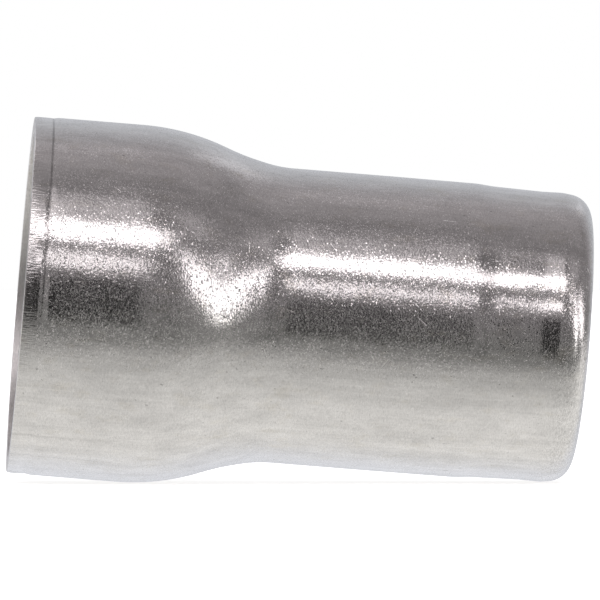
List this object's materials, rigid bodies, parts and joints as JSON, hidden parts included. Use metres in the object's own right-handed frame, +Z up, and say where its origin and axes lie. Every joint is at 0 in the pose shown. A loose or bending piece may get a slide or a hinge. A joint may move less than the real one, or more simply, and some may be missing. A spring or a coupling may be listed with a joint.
{
  "type": "pipe reducer",
  "caption": "Concentric pipe reducer drawn in one piece from sheet metal, with an open large end, a coned shoulder and a turned-in lip at the small end.",
  "frame": {"origin": "centre of the large end's mouth, on the axis", "axes": "+X along the axis towards the small end, +Z up"},
  "size_m": [0.055, 0.035, 0.035],
  "materials": {
    "drawn_stainless": "bare stainless steel as it leaves the drawing tool and the tumbler, with fine random scratches and light drawing marks along the axis"
  },
  "bodies": {
    "root": {"reducer_shell": "drawn_stainless"}
  },
  "joints": []
}
